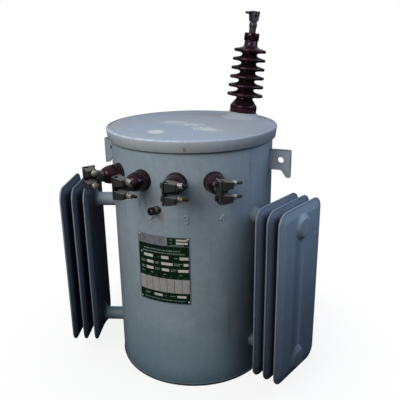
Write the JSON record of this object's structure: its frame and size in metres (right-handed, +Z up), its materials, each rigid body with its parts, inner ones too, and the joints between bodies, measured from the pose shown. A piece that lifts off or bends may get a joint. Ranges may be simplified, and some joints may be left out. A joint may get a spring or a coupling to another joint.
{
  "type": "pole mounted transformer",
  "caption": "Round oil-filled distribution transformer with side radiators, a tall ribbed high-voltage bushing on its domed lid and low-voltage clamp terminals.",
  "frame": {"origin": "where the tank axis meets the ground, on the flat bottom", "axes": "+Z up along the tank axis, -Y towards the front with nameplate and low-voltage bushings, +X towards the right-hand radiator"},
  "size_m": [0.9146, 0.7325, 1.2285],
  "materials": {
    "tank_paint": "satin weathered grey paint",
    "lid_paint": "satin weathered pale grey paint",
    "radiator_paint": "satin blue-grey paint",
    "porcelain": "glossy dark brown glaze",
    "terminal_bronze": "dull tinned bronze",
    "bolt_steel": "zinc plated",
    "rubber": "matte black",
    "plate_green": "printed green plate"
  },
  "bodies": {
    "root": {"tank_wall": "tank_paint", "tank_bottom": "tank_paint", "lid_gasket": "rubber", "lid": "lid_paint", "hv_boss": "lid_paint", "hv_bushing": "porcelain", "hv_terminal_stud": "terminal_bronze", "hv_terminal_clamp": "terminal_bronze", "hv_clamp_bolt": "bolt_steel", "lv_gasket_1": "rubber", "lv_gasket_2": "rubber", "lv_gasket_3": "rubber", "lv_gasket_4": "rubber", "lv_bushing_1": "porcelain", "lv_bushing_2": "porcelain", "lv_bushing_3": "porcelain", "lv_bushing_4": "porcelain", "lv_terminal_1": "terminal_bronze", "lv_terminal_2": "terminal_bronze", "lv_terminal_3": "terminal_bronze", "lv_terminal_4": "terminal_bronze", "lv_clamp_jaws_1": "terminal_bronze", "lv_clamp_jaws_2": "terminal_bronze", "lv_clamp_jaws_3": "terminal_bronze", "lv_clamp_jaws_4": "terminal_bronze", "lv_clamp_bolts_1": "bolt_steel", "lv_clamp_bolts_2": "bolt_steel", "lv_clamp_bolts_3": "bolt_steel", "lv_clamp_bolts_4": "bolt_steel", "ground_pad": "terminal_bronze", "ground_nut": "bolt_steel", "ground_connector": "terminal_bronze", "nameplate": "plate_green", "left_radiator_panel_1": "radiator_paint", "left_radiator_panel_2": "radiator_paint", "left_radiator_panel_3": "radiator_paint", "right_radiator_panel_1": "radiator_paint", "right_radiator_panel_2": "radiator_paint", "right_radiator_panel_3": "radiator_paint", "left_upper_header": "radiator_paint", "left_lower_header": "radiator_paint", "right_upper_header": "radiator_paint", "right_lower_header": "radiator_paint", "left_lifting_lug": "tank_paint", "right_lifting_lug": "tank_paint", "upper_pole_bracket": "tank_paint", "lower_pole_bracket": "tank_paint"}
  },
  "joints": []
}
